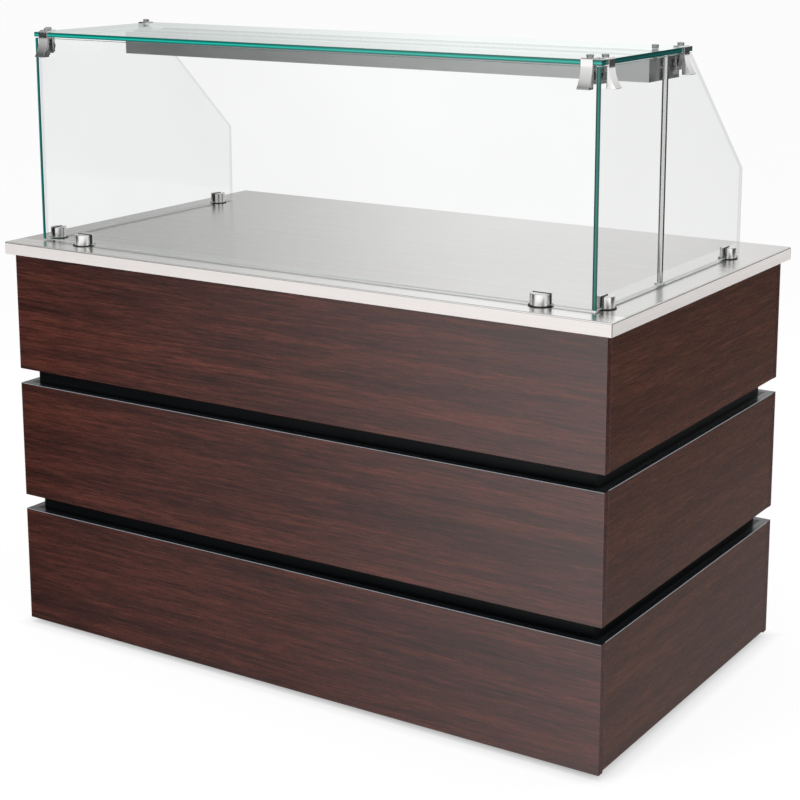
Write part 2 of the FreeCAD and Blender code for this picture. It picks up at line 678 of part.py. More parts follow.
# ---- lamp channel, open below, with its top sheet bonded and bolted under the glass shelf ----
housing = block(channel_left_x, channel_right_x, channel_front_y, channel_rear_y, channel_bottom, channel_top)
housing = housing.fuse(block(channel_left_x, channel_right_x, channel_front_y - channel_flange,
                             channel_rear_y + channel_flange, channel_top - channel_sheet, channel_top))
housing = housing.cut(block(channel_left_x + channel_sheet, channel_right_x - channel_sheet,
                            channel_front_y + channel_sheet, channel_rear_y - channel_sheet,
                            channel_bottom, channel_top - channel_sheet))
nipple_z = channel_top - nipple_drop
nipple_start = V(channel_right_x - channel_sheet, post_y, nipple_z)
housing = housing.cut(cylinder(nipple_radius + fixed_clearance, channel_sheet, nipple_start, V(1, 0, 0)))
inside_top = V(bolt_place.x, bolt_place.y, channel_top - channel_sheet)
housing = housing.cut(cylinder(housing_bolt_radius + fixed_clearance, channel_sheet, inside_top))
save("lamp_housing", housing.removeSplitter())
lens_bottom = channel_bottom + lens_recess
save("lamp_lens", block(channel_left_x + channel_sheet, channel_right_x - channel_sheet,
                        channel_front_y + channel_sheet, channel_rear_y - channel_sheet,
                        lens_bottom, lens_bottom + lens_thickness))
channel_middle_y = (channel_front_y + channel_rear_y) / 2
lamp_top = channel_top - channel_sheet
lamp = block(channel_left_x + lamp_end_gap, channel_right_x - lamp_end_gap, channel_middle_y - lamp_width / 2,
             channel_middle_y + lamp_width / 2, lamp_top - lamp_height, lamp_top)
lamp = lamp.makeChamfer(lamp_bevel, [e for e in edges_along(lamp, V(1, 0, 0))
                                     if e.BoundBox.ZMin < lamp_top - lamp_height / 2])
save("lamp_strip", lamp)
bonds = []
for y in (channel_front_y + bond_inset, channel_rear_y - bond_inset - bond_width):
    bonds.append(block(channel_left_x + bond_inset, channel_right_x - bond_inset, y, y + bond_width,
                       channel_top, shelf_glass_bottom))
save("bond_strips", bonds)

# the bolt goes down through the glass shelf and the channel's top sheet to a nut inside
nut_bottom = inside_top.z - hex_height
shank = cylinder(housing_bolt_radius, guard_top - nut_bottom, V(bolt_place.x, bolt_place.y, nut_bottom))
head = cylinder(clamp_cap_radius, housing_bolt_head, bolt_place)
nut = hexagon(hex_radius, hex_height, V(bolt_place.x, bolt_place.y, nut_bottom))
nut = nut.cut(cylinder(housing_bolt_radius + fixed_clearance, hex_height, V(bolt_place.x, bolt_place.y, nut_bottom)))
save("housing_bolt", [shank.fuse(head), nut])

# ---- wiring post, open to the wire hole in the counter, with a nipple into the channel's end ----
tube_length = shelf_glass_bottom - counter_height
post_base = V(post_x, post_y, counter_height)
nipple = cylinder(nipple_radius, post_x - nipple_start.x, nipple_start, V(1, 0, 0))
bore = cylinder(post_bore_radius, tube_length - post_plug, post_base)
save("lamp_post", cylinder(post_radius, tube_length, post_base).fuse(nipple).cut(bore).removeSplitter())
foot = cylinder(foot_radius, foot_height, post_base)
save("post_foot", foot.cut(cylinder(post_radius + fixed_clearance, foot_height, post_base)))

print("tier height %.2f, door top %.2f, pedal pivot %.2f %.2f" % (tier_height, door_top, pedal_pivot.x, pedal_pivot.z))
print("caster at %.1f %.1f, hinge at %.2f %.2f" % (caster_x, caster_y, hinge_x, hinge_y))
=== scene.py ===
import json
import math

import bmesh
import bpy
from mathutils import Matrix, Vector

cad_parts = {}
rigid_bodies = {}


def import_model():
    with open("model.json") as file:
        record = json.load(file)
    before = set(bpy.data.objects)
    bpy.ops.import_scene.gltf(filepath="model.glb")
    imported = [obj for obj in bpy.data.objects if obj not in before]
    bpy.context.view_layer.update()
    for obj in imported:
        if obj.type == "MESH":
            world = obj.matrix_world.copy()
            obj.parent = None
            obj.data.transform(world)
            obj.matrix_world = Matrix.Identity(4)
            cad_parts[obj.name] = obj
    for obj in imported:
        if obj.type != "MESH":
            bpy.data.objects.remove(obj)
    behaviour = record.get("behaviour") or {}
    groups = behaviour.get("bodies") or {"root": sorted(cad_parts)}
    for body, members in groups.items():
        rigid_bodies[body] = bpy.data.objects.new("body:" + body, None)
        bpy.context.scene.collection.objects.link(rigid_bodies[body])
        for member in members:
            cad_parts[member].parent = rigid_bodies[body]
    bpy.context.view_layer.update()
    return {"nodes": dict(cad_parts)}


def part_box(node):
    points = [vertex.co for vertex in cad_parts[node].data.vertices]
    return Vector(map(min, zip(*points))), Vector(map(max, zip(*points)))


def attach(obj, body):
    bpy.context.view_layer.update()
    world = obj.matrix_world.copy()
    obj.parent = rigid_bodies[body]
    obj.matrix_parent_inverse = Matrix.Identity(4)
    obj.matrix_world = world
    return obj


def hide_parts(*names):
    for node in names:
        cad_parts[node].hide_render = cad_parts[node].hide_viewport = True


# Mobile salad bar. The CAD nodes show the boards, the light channel, the doors and the forks. The steel
# counter, panes, standoffs, clamps, bolt and wheels are modelled again here with more detail.

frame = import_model()
nodes = frame["nodes"]
print("frame loaded", len(nodes), "nodes")


def nodeBox(name):
    return [Vector(corner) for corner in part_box(name)]


# where the guard's glass stands: the shelf, the front pane's outer face and the end panes' outer face
def readGuard():
    shelf, front, end = nodeBox("top_glass"), nodeBox("front_glass"), nodeBox("right_glass")
    return {"shelfLow": shelf[0].z, "shelfTop": shelf[1].z, "shelfRear": shelf[1].y,
            "paneLow": front[0].z, "paneTop": front[1].z, "pane": front[1].y - front[0].y,
            "front": front[0].y, "end": end[1].x, "overhang": shelf[1].x - end[1].x}


guard = readGuard()

camera = {"lens": 82.025, "shiftX": -0.0049, "shiftY": -0.16, "place": (2.1921, -3.3651, 1.6645),
          "yaw": 32.772, "pitch": -11.461, "roll": -0.068}


def makeCamera(c):
    data = bpy.data.cameras.new("camera")
    data.lens = c["lens"]
    data.sensor_width = 36
    data.shift_x = c["shiftX"]
    data.shift_y = c["shiftY"]
    cam = bpy.data.objects.new("camera", data)
    bpy.context.scene.collection.objects.link(cam)
    turn = (Matrix.Rotation(math.radians(c["yaw"]), 4, "Z")
            @ Matrix.Rotation(math.radians(90 + c["pitch"]), 4, "X")
            @ Matrix.Rotation(math.radians(c["roll"]), 4, "Z"))
    cam.matrix_world = Matrix.Translation(c["place"]) @ turn
    bpy.context.scene.camera = cam


makeCamera(camera)
bpy.context.scene.view_settings.view_transform = "Standard"


# shader helpers
def startMaterial(name):
    mat = bpy.data.materials.new(name)
    mat.use_nodes = True
    mat.node_tree.nodes.clear()
    return mat, mat.node_tree


# sockets are given by name, or by number as i0, i1; a value or another node's output goes in
def addNode(tree, kind, settings=None, **sockets):
    node = tree.nodes.new(kind)
    for key, value in (settings or {}).items():
        setattr(node, key, value)
    for key, value in sockets.items():
        numbered = key[0] == "i" and key[1:].isdigit()
        socket = node.inputs[int(key[1:])] if numbered else node.inputs[key.replace("_", " ")]
        if isinstance(value, bpy.types.NodeSocket):
            tree.links.new(value, socket)
        else:
            socket.default_value = value
    return node


def calc(tree, operation, a, b=0.0, c=0.0):
    return addNode(tree, "ShaderNodeMath", {"operation": operation}, i0=a, i1=b, i2=c).outputs[0]


def mixColour(tree, factor, a, b, blend="MIX"):
    settings = {"data_type": "RGBA", "blend_type": blend}
    return addNode(tree, "ShaderNodeMix", settings, i0=factor, i6=a, i7=b).outputs[2]


def ramp(tree, factor, stops):
    node = addNode(tree, "ShaderNodeValToRGB", None, i0=factor)
    band = node.color_ramp
    while len(band.elements) < len(stops):
        band.elements.new(0.5)
    for element, (position, colour) in zip(band.elements, stops):
        element.position = position
        element.color = (*colour, 1) if len(colour) == 3 else colour
    return node.outputs[0]


def stretched(tree, scale, offset=(0, 0, 0)):
    coords = addNode(tree, "ShaderNodeTexCoord")
    return addNode(tree, "ShaderNodeMapping", None, Vector=coords.outputs["Object"], Scale=scale,
                   Location=offset).outputs[0]


def noise(tree, vector, scale, detail=4.0, roughness=0.55, distortion=0.0):
    return addNode(tree, "ShaderNodeTexNoise", None, Vector=vector, Scale=scale, Detail=detail,
                   Roughness=roughness, Distortion=distortion).outputs[0]


def finishWith(tree, shader):
    out = addNode(tree, "ShaderNodeOutputMaterial", None)
    tree.links.new(shader, out.inputs["Surface"])


def bumped(tree, height, strength, distance):
    bump = addNode(tree, "ShaderNodeBump", None, Height=height, Strength=strength, Distance=distance)
    return bump.outputs[0]


def principled(tree, **sockets):
    return addNode(tree, "ShaderNodeBsdfPrincipled", None, **sockets).outputs[0]


def normalParts(tree):
    geometry = addNode(tree, "ShaderNodeNewGeometry")
    return addNode(tree, "ShaderNodeSeparateXYZ", None, i0=geometry.outputs["Normal"]).outputs


laminate = {"dark": (0.010, 0.0026, 0.0019), "mid": (0.042, 0.0088, 0.0053), "light": (0.115, 0.0250, 0.0148),
            "stops": (0.36, 0.49, 0.63), "pore": (0.009, 0.0035, 0.003), "poreStops": (0.30, 0.43),
            "poreDepth": 0.55, "edgeBand": (0.008, 0.010, 0.012), "arris": (0.36, 0.42, 0.46),
            "arrisHighlightShare": 0.8, "stretch": 0.035, "swayScale": 1.8, "sway": 0.02, "bandScale": 38.0,
            "bandShare": 0.30, "streakScale": 300.0, "streakShare": 0.48, "fineScale": 900.0,
            "fineShare": 0.22, "roughness": 0.19, "roughSpread": 0.16, "relief": 0.0004}


# wood-grain laminate, its grain along an axis (0 = X, 1 = Y); level edges are banded, upper arrises get a
# painted highlight;
# contrast draws the dark and light shades towards the middle one
def laminateMaterial(name, along, offset, tone=(1, 1, 1), contrast=1.0):
    m = laminate
    mat, tree = startMaterial(name)
    stretch = [1.0, 1.0, 1.0]
    stretch[along] = m["stretch"]
    base = stretched(tree, tuple(stretch), offset)
    sway = noise(tree, base, m["swayScale"], 2.0)
    swayed = addNode(tree, "ShaderNodeVectorMath", {"operation": "MULTIPLY_ADD"}, i0=sway,
                     i1=(0.0, 0.0, m["sway"]), i2=base).outputs[0]
    bands = noise(tree, swayed, m["bandScale"], 5.0, 0.6, 0.2)
    streaks = noise(tree, swayed, m["streakScale"], 5.0, 0.7, 0.1)
    fine = noise(tree, swayed, m["fineScale"], 3.0, 0.7)
    broad = calc(tree, "MULTIPLY_ADD", fine, m["fineShare"], calc(tree, "MULTIPLY", bands, m["bandShare"]))
    mixed = calc(tree, "MULTIPLY_ADD", streaks, m["streakShare"], broad)
    shades = [tuple((mid + (c - mid) * contrast) * t for c, mid, t in zip(m[key], m["mid"], tone))
              for key in ("dark", "mid", "light")]
    colour = ramp(tree, mixed, list(zip(m["stops"], shades)))
    pores = ramp(tree, fine, list(zip(m["poreStops"], ((1, 1, 1), (0, 0, 0)))))
    colour = mixColour(tree, calc(tree, "MULTIPLY", pores, m["poreDepth"]), colour, (*m["pore"], 1))
    up = normalParts(tree)[2]
    flat = calc(tree, "GREATER_THAN", calc(tree, "ABSOLUTE", up), 0.9)
    # painted highlight: faces sloping partly upward, the upper arrises, are painted a pale colour as if they
    # catch the light
    arris = calc(tree, "MULTIPLY", calc(tree, "GREATER_THAN", up, 0.4), calc(tree, "LESS_THAN", up, 0.9))
    colour = mixColour(tree, flat, colour, (*m["edgeBand"], 1))
    colour = mixColour(tree, calc(tree, "MULTIPLY", arris, m["arrisHighlightShare"]), colour, (*m["arris"], 1))
    rough = calc(tree, "MULTIPLY_ADD", streaks, m["roughSpread"], m["roughness"])
    normal = bumped(tree, calc(tree, "MULTIPLY_ADD", fine, 0.5, streaks), 0.2, m["relief"])
    finishWith(tree, principled(tree, Base_Color=colour, Roughness=rough, Normal=normal, IOR=1.5,
                                Specular_IOR_Level=0.95))
    return mat


frontLaminate = laminateMaterial("laminate_long", 0, (0.0, 0.0, 0.0))
# painted sheen: the end panels take the same laminate painted lighter and paler, with less contrast, as if
# hazed by reflected light
endLaminateSheen = laminateMaterial("laminate_end_sheen", 1, (0.7, 0.0, 0.3), (1.22, 1.64, 1.27), 0.6)


board = {"cloudScale": 9.0, "gritScale": 900.0, "roughSpread": 0.15, "roughDrop": 0.07, "relief": 0.0002}


def boardMaterial(name, colour, roughness, mottle, ior=1.45):
    mat, tree = startMaterial(name)
    base = stretched(tree, (1, 1, 1))
    cloud = noise(tree, base, board["cloudScale"], 5.0)
    grit = noise(tree, base, board["gritScale"], 2.0)
    light = tuple(min(1.0, c * (1 + mottle)) for c in colour)
    dark = tuple(c * (1 - mottle) for c in colour)
    tint = ramp(tree, cloud, [(0.35, dark), (0.65, light)])
    rough = calc(tree, "MULTIPLY_ADD", grit, board["roughSpread"], roughness - board["roughDrop"])
    finishWith(tree, principled(tree, Base_Color=tint, Roughness=rough,
                                Normal=bumped(tree, grit, 0.15, board["relief"]), IOR=ior))
    return mat


blackBoard = boardMaterial("black_board", (0.0018, 0.0024, 0.0030), 0.34, 0.25, 1.26)
melamine = boardMaterial("grey_melamine", (0.58, 0.57, 0.55), 0.45, 0.04)


chip = {"scale": 330.0, "shades": [(0.0, (0.20, 0.115, 0.055)), (0.55, (0.36, 0.23, 0.12)),
                                   (1.0, (0.52, 0.37, 0.22))], "roughness": 0.8, "relief": 0.0006}


def chipboardMaterial(m):
    mat, tree = startMaterial("chipboard")
    base = stretched(tree, (1, 1, 1))
    chips = addNode(tree, "ShaderNodeTexVoronoi", None, Vector=base, Scale=m["scale"])
    shade = addNode(tree, "ShaderNodeSeparateXYZ", None, i0=chips.outputs["Color"]).outputs[0]
    finishWith(tree, principled(tree, Base_Color=ramp(tree, shade, m["shades"]), Roughness=m["roughness"],
                                Normal=bumped(tree, chips.outputs["Distance"], 0.4, m["relief"])))
    return mat


chipboard = chipboardMaterial(chip)


brushed = {"stretch": 0.008, "lineScale": 800.0, "lineShare": 0.7, "broadScale": 60.0, "broadShare": 0.3,
           "blotchScale": 3.0, "wear": 0.08, "roughSpread": 0.18, "roughDrop": 0.13, "relief": 0.0003}


# satin metal brushed along one axis; past an edge, (from, to) on an axis, it is painted brighter by the gain
# given, a painted highlight
def brushedMaterial(name, along, colour, roughness, streak, bump=0.08, metal=1.0, axis=0, edge=None,
                    highlightGain=1.0):
    m = brushed
    mat, tree = startMaterial(name)
    stretch = [1.0, 1.0, 1.0]
    stretch[along] = m["stretch"]
    base = stretched(tree, tuple(stretch))
    lines = noise(tree, base, m["lineScale"], 4.0, 0.7)
    broad = noise(tree, base, m["broadScale"], 3.0, 0.6)
    blotch = noise(tree, stretched(tree, (1, 1, 1)), m["blotchScale"], 3.0)
    both = calc(tree, "MULTIPLY_ADD", lines, m["lineShare"], calc(tree, "MULTIPLY", broad, m["broadShare"]))
    low = tuple(c * (1 - streak) for c in colour)
    high = tuple(min(1.0, c * (1 + streak)) for c in colour)
    tint = ramp(tree, both, [(0.3, low), (0.7, high)])
    if edge:
        coords = addNode(tree, "ShaderNodeTexCoord")
        spot = addNode(tree, "ShaderNodeSeparateXYZ", None, i0=coords.outputs["Object"]).outputs[axis]
        past = addNode(tree, "ShaderNodeMapRange", None, i0=spot, i1=edge[0], i2=edge[1]).outputs[0]
        tint = mixColour(tree, past, tint, tuple(min(1.0, c * highlightGain) for c in colour) + (1,))
    worn = calc(tree, "MULTIPLY_ADD", blotch, m["wear"], roughness - m["roughDrop"])
    rough = calc(tree, "MULTIPLY_ADD", both, m["roughSpread"], worn)
    finishWith(tree, principled(tree, Base_Color=tint, Metallic=metal, Roughness=rough,
                                Normal=bumped(tree, both, bump, m["relief"])))
    return mat


# painted light: the counter is painted brighter before the front glass, and the channel is painted brighter
# above its fold, a painted highlight along its upper edge
highlightFrom, highlightBy = 0.0015, 0.0075
channelFold = nodeBox("lamp_housing")[1].z - 0.0015
channelFade = 0.0002
counterSteel = brushedMaterial("counter_steel", 0, (0.76, 0.745, 0.735), 0.25, 0.10, 0.05,
                               axis=1, edge=(guard["front"] - highlightFrom, guard["front"] - highlightBy),
                               highlightGain=1.32)
lipSteel = brushedMaterial("lip_steel", 0, (0.81, 0.765, 0.745), 0.42, 0.05, 0.05, metal=0.3)
# painted light: the end lip strips are the same steel as the long ones, painted brighter as if better lit
lipEndLitSteel = brushedMaterial("lip_end_lit_steel", 1, (0.92, 0.875, 0.855), 0.42, 0.05, 0.05, metal=0.3)
# painted shade: nearly black steel for the seam bevels, standing in for the shade in the seam
seamShadeSteel = brushedMaterial("seam_shade_steel", 2, (0.05, 0.042, 0.04), 0.5, 0.1)
# painted highlight: the channel's steel is painted much brighter above its fold, as if its upper edge catches
# the light
housingSteel = brushedMaterial("housing_steel", 0, (0.46, 0.46, 0.465), 0.34, 0.10,
                               axis=2, edge=(channelFold - channelFade, channelFold), highlightGain=2.0)
postSteel = brushedMaterial("post_steel", 2, (0.56, 0.555, 0.555), 0.14, 0.10)
standoffSteel = brushedMaterial("standoff_steel", 2, (0.80, 0.79, 0.78), 0.24, 0.12, 0.1)
hingeSteel = brushedMaterial("hinge_steel", 2, (0.46, 0.46, 0.45), 0.34, 0.12)


polished = {"smearScale": 24.0, "smearShade": 0.95, "roughSpread": 0.07, "relief": 0.0005}


def chromeMaterial(name, colour, roughness):
    m = polished
    mat, tree = startMaterial(name)
    smear = noise(tree, stretched(tree, (1, 1, 1)), m["smearScale"], 2.0)
    rough = calc(tree, "MULTIPLY_ADD", smear, m["roughSpread"], roughness)
    tint = ramp(tree, smear, [(0.3, tuple(c * m["smearShade"] for c in colour)), (0.7, colour)])
    finishWith(tree, principled(tree, Base_Color=tint, Metallic=1.0, Roughness=rough,
                                Normal=bumped(tree, smear, 0.02, m["relief"])))
    return mat


chrome = chromeMaterial("clamp_chrome", (0.80, 0.79, 0.785), 0.10)
capSteel = chromeMaterial("cap_steel", (0.34, 0.335, 0.33), 0.16)
zinc = chromeMaterial("zinc_plate", (0.50, 0.52, 0.54), 0.26)


plastic = {"grainScale": 1400.0, "cloudScale": 12.0, "light": 1.08, "dark": 0.9, "roughSpread": 0.12,
           "roughDrop": 0.05, "relief": 0.0002}


def plasticMaterial(name, colour, roughness, grain=0.25):
    m = plastic
    mat, tree = startMaterial(name)
    base = stretched(tree, (1, 1, 1))
    fine = noise(tree, base, m["grainScale"], 2.0)
    cloud = noise(tree, base, m["cloudScale"], 3.0)
    light = tuple(min(1, c * m["light"]) for c in colour)
    dark = tuple(c * m["dark"] for c in colour)
    tint = ramp(tree, cloud, [(0.35, dark), (0.65, light)])
    rough = calc(tree, "MULTIPLY_ADD", fine, m["roughSpread"], roughness - m["roughDrop"])
    finishWith(tree, principled(tree, Base_Color=tint, Roughness=rough,
                                Normal=bumped(tree, fine, grain, m["relief"]), IOR=1.46))
    return mat


lensPlastic = plasticMaterial("lens_plastic", (0.72, 0.73, 0.72), 0.4)
lampPlastic = plasticMaterial("lamp_plastic", (0.8, 0.8, 0.78), 0.3)
bondRubber = plasticMaterial("bond_rubber", (0.075, 0.03, 0.03), 0.6)
gasketRubber = plasticMaterial("gasket_rubber", (0.006, 0.008, 0.010), 0.5)
catchPlastic = plasticMaterial("catch_plastic", (0.62, 0.61, 0.58), 0.4)
pedalPaint = plasticMaterial("pedal_paint", (0.02, 0.02, 0.022), 0.35)
tyreRubber = plasticMaterial("tyre_rubber", (0.028, 0.028, 0.030), 0.55, 0.5)
rimPlastic = plasticMaterial("rim_plastic", (0.20, 0.205, 0.21), 0.42)
print("materials made")

finishes = {
    "counter_core": chipboard,
    "front_wall": blackBoard, "left_wall": blackBoard, "right_wall": blackBoard,
    "left_stile": blackBoard, "right_stile": blackBoard, "rear_rail": blackBoard,
    "left_door_board": blackBoard, "right_door_board": blackBoard,
    "front_panel_low": frontLaminate, "front_panel_mid": frontLaminate, "front_panel_top": frontLaminate,
    "left_panels": endLaminateSheen, "right_panels": endLaminateSheen,
    "stile_facings": frontLaminate, "rear_rail_facing": frontLaminate,
    "left_door_facings": frontLaminate, "right_door_facings": frontLaminate,
    "door_mullion": melamine, "base_deck": melamine, "shelf": melamine, "shelf_cleats": melamine,
    "hinge_leaves": hingeSteel, "hinge_pins": hingeSteel,
    "left_door_leaves": hingeSteel, "right_door_leaves": hingeSteel,
    "magnet_catches": catchPlastic, "caster_plates": zinc, "standoff_rings": gasketRubber,
    "lamp_post": postSteel, "post_foot": chrome, "lamp_housing": housingSteel,
    "lamp_lens": lensPlastic, "lamp_strip": lampPlastic, "bond_strips": bondRubber,
}
casters = ("front_left", "front_right", "rear_left", "rear_right")
for name in casters:
    finishes["fork_" + name] = zinc
    if name.startswith("rear"):
        finishes["brake_pedal_" + name] = pedalPaint


def repaint(name, material):
    mesh = nodes[name].data
    if not mesh.materials:
        mesh.materials.append(material)
    for i in range(len(mesh.materials)):
        mesh.materials[i] = material


for name, material in finishes.items():
    repaint(name, material)


# modelling helpers: a primitive is added, shaped in edit mode and finished in object mode; the edit functions
# leave the new object in edit mode
def nothingSelected():
    for obj in bpy.context.view_layer.objects:
        obj.select_set(False)


def only(obj):
    nothingSelected()
    obj.select_set(True)
    bpy.context.view_layer.objects.active = obj


def editCube(name, low, high):
    low, high = Vector(low), Vector(high)
    nothingSelected()
    bpy.ops.mesh.primitive_cube_add(size=1)
    obj = bpy.context.object
    obj.name = obj.data.name = name
    bpy.ops.object.mode_set(mode="EDIT")
    bpy.ops.transform.resize(value=high - low)
    bpy.ops.transform.translate(value=(low + high) / 2)
    return obj


# steps are (height, radius) pairs; a ring's steps go all round its section, a solid's from end to end
def editTurned(name, steps, sides, ring=False):
    nothingSelected()
    fill = "NOTHING" if ring else "NGON"
    bpy.ops.mesh.primitive_circle_add(vertices=sides, radius=steps[0][1], fill_type=fill)
    obj = bpy.context.object
    obj.name = obj.data.name = name
    bpy.ops.object.mode_set(mode="EDIT")
    bpy.ops.transform.translate(value=(0, 0, steps[0][0]))
    path = steps + steps[:1] if ring else steps
    for (fromHeight, fromRadius), (toHeight, toRadius) in zip(path, path[1:]):
        growth = toRadius / fromRadius
        bpy.ops.mesh.extrude_region_move(TRANSFORM_OT_translate={"value": (0, 0, toHeight - fromHeight)})
        bpy.ops.transform.resize(value=(growth, growth, 1))
    bpy.ops.mesh.select_all(action="SELECT")
    bpy.ops.mesh.remove_doubles(threshold=0.000001)
    bpy.ops.mesh.normals_make_consistent(inside=False)
    return obj


# a circle's points are set along an outline in X and Z, and the face is extruded along Y
def editOutline(name, points, width):
    nothingSelected()
    bpy.ops.mesh.primitive_circle_add(vertices=len(points), radius=0.01, fill_type="NGON")
    obj = bpy.context.object
    obj.name = obj.data.name = name
    for vertex, (x, z) in zip(obj.data.vertices, points):
        vertex.co = (x, -width / 2, z)
    bpy.ops.object.mode_set(mode="EDIT")
    bpy.ops.mesh.select_all(action="SELECT")
    bpy.ops.mesh.extrude_region_move(TRANSFORM_OT_translate={"value": (0, width, 0)})
    bpy.ops.mesh.select_all(action="SELECT")
    bpy.ops.mesh.normals_make_consistent(inside=False)
    return obj


def pick(obj, kind, wanted):
    bpy.ops.mesh.select_mode(type={"verts": "VERT", "edges": "EDGE", "faces": "FACE"}[kind])
    bpy.ops.mesh.select_all(action="DESELECT")
    mesh = bmesh.from_edit_mesh(obj.data)
    for item in getattr(mesh, kind):
        item.select_set(bool(wanted(item)))
    mesh.select_flush_mode()
    bmesh.update_edit_mesh(obj.data)


def runsAlong(edge, axis):
    run = edge.verts[1].co - edge.verts[0].co
    return abs(run[axis]) > 0.999 * run.length


def bevelEdges(obj, wanted, width, segments):
    pick(obj, "edges", wanted)
    bpy.ops.mesh.bevel(offset=width, segments=segments, affect="EDGES")


def objectMode(obj):
    bpy.ops.object.mode_set(mode="OBJECT")
    return obj


def applied(obj, kind, **settings):
    only(obj)
    modifier = obj.modifiers.new(kind.lower(), kind)
    for key, value in settings.items():
        setattr(modifier, key, value)
    bpy.ops.object.modifier_apply(modifier=modifier.name)


def softened(obj, width, segments=2, angle=35):
    applied(obj, "BEVEL", width=width, segments=segments, limit_method="ANGLE",
            angle_limit=math.radians(angle))


def copied(obj, name, matrix):
    twin = obj.copy()
    twin.data = obj.data.copy()
    twin.name = twin.data.name = name
    bpy.context.scene.collection.objects.link(twin)
    twin.data.transform(matrix)
    return twin


def joined(name, pieces):
    nothingSelected()
    for piece in pieces:
        piece.select_set(True)
    bpy.context.view_layer.objects.active = pieces[0]
    bpy.ops.object.join()
    pieces[0].name = pieces[0].data.name = name
    return pieces[0]


def discard(obj):
    data = obj.data
    bpy.data.objects.remove(obj)
    bpy.data.meshes.remove(data)


def paint(obj, *materials, chooser=None):
    obj.data.materials.clear()
    for material in materials:
        obj.data.materials.append(material)
    if chooser:
        for face in obj.data.polygons:
            face.material_index = chooser(face)


def rounded(obj, smooth):
    only(obj)
    bpy.ops.object.shade_smooth_by_angle(angle=math.radians(smooth))
    applied(obj, "WEIGHTED_NORMAL", keep_sharp=True, weight=100)


def place(obj, body, slotName, *replaced, smooth=32):
    rounded(obj, smooth)
    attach(obj, body)
    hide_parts(*replaced)


def turnedTo(degrees, where=(0, 0, 0)):
    return Matrix.Translation(where) @ Matrix.Rotation(math.radians(degrees), 4, "Z")


# counter: a sheet with a soft rim over four lip strips, whose ends leave a fine seam at each corner; the
# strips' bevels that make the seam are painted dark, painted shade in the seam
counter = {"rim": 0.0019, "rimDepth": 0.0025, "sheet": 0.0015, "cornerRadius": 0.0022,
           "seam": 0.0006, "border": 0.0002}


def makeCounter(c):
    low, high = nodeBox("counter_top")
    seamHeight = high.z - c["rimDepth"]
    top = editCube("counter_sheet", (low.x, low.y, seamHeight), high)
    bevelEdges(top, lambda e: runsAlong(e, 2), c["cornerRadius"], 3)
    bevelEdges(top, lambda e: min(v.co.z for v in e.verts) > high.z - 0.0001, c["rim"], 4)
    pick(top, "faces", lambda f: f.calc_center_median().z > high.z - 0.00001)
    bpy.ops.mesh.inset(thickness=c["border"], depth=0)
    objectMode(top)
    paint(top, counterSteel)
    pieces = [top]
    innerX, innerY = high.x - c["sheet"], high.y - c["sheet"]

    def inSeam(face):
        slanting = sorted(abs(part) for part in face.normal)[1] > 0.3
        return 1 if slanting and face.center.z > low.z + 0.001 else 0

    for side in (-1, 1):
        y = sorted((side * innerY, side * high.y))
        x = sorted((side * innerX, side * high.x))
        strips = (("long_lip", (low.x, y[0], low.z), (high.x, y[1], seamHeight), lipSteel),
                  ("end_lip", (x[0], -innerY, low.z), (x[1], innerY, seamHeight), lipEndLitSteel))
        for name, start, end, material in strips:
            strip = objectMode(editCube(name, start, end))
            softened(strip, c["seam"], 1)
            paint(strip, material, seamShadeSteel, chooser=inSeam)
            pieces.append(strip)
    place(joined("steel_counter", pieces), "cabinet", "steel", "counter_top")


makeCounter(counter)
print("counter made")


# slotted standoffs: turned, slotted with a cutter down to the panes' feet, the slot lined with dark rubber
standoff = {"frontRadius": 0.0215, "endRadius": 0.0175, "chamfer": 0.0008, "slot": 0.0086, "cutterReach": 0.1,
            "cutterTop": 1.0, "sides": 72, "edge": 0.0003}


def makeStandoff(name, radius, bottom, top, s):
    steps = [(bottom, radius - s["chamfer"] / 2), (bottom + s["chamfer"] / 2, radius),
             (top - s["chamfer"], radius), (top, radius - s["chamfer"])]
    body = objectMode(editTurned(name, steps, s["sides"]))
    half, slotFloor = s["slot"] / 2, guard["paneLow"]
    cutter = objectMode(editCube("slot_cutter", (-half, -s["cutterReach"], slotFloor),
                                 (half, s["cutterReach"], s["cutterTop"])))
    applied(body, "BOOLEAN", object=cutter, operation="DIFFERENCE", solver="EXACT")
    discard(cutter)
    softened(body, s["edge"], 1, 60)

    def inSlot(face):
        centre = face.center
        wall = abs(abs(centre.x) - half) < 0.0001 and abs(face.normal.x) > 0.9
        floor = abs(centre.z - slotFloor) < 0.0001 and abs(face.normal.z) > 0.9
        return 1 if wall or floor else 0

    paint(body, standoffSteel, gasketRubber, chooser=inSlot)
    return body


def makeStandoffs(s):
    for node, radius, quarter in (("front_standoffs", s["frontRadius"], 90),
                                  ("right_standoffs", s["endRadius"], 0),
                                  ("left_standoffs", s["endRadius"], 0)):
        low, high = nodeBox(node)
        model = makeStandoff("standoff_model", radius, low.z, high.z, s)
        middle = (low + high) / 2
        reach = (high - low) / 2
        if quarter:
            across = reach.x - radius
            spots = [(middle.x - across, middle.y, 0), (middle.x + across, middle.y, 0)]
        else:
            across = reach.y - radius
            spots = [(middle.x, middle.y - across, 0), (middle.x, middle.y + across, 0)]
        pieces = [copied(model, node + "_turned", turnedTo(quarter, spot)) for spot in spots]
        discard(model)
        place(joined(node + "_set", pieces), "cabinet", "chrome", node)


makeStandoffs(standoff)
print("standoffs made")


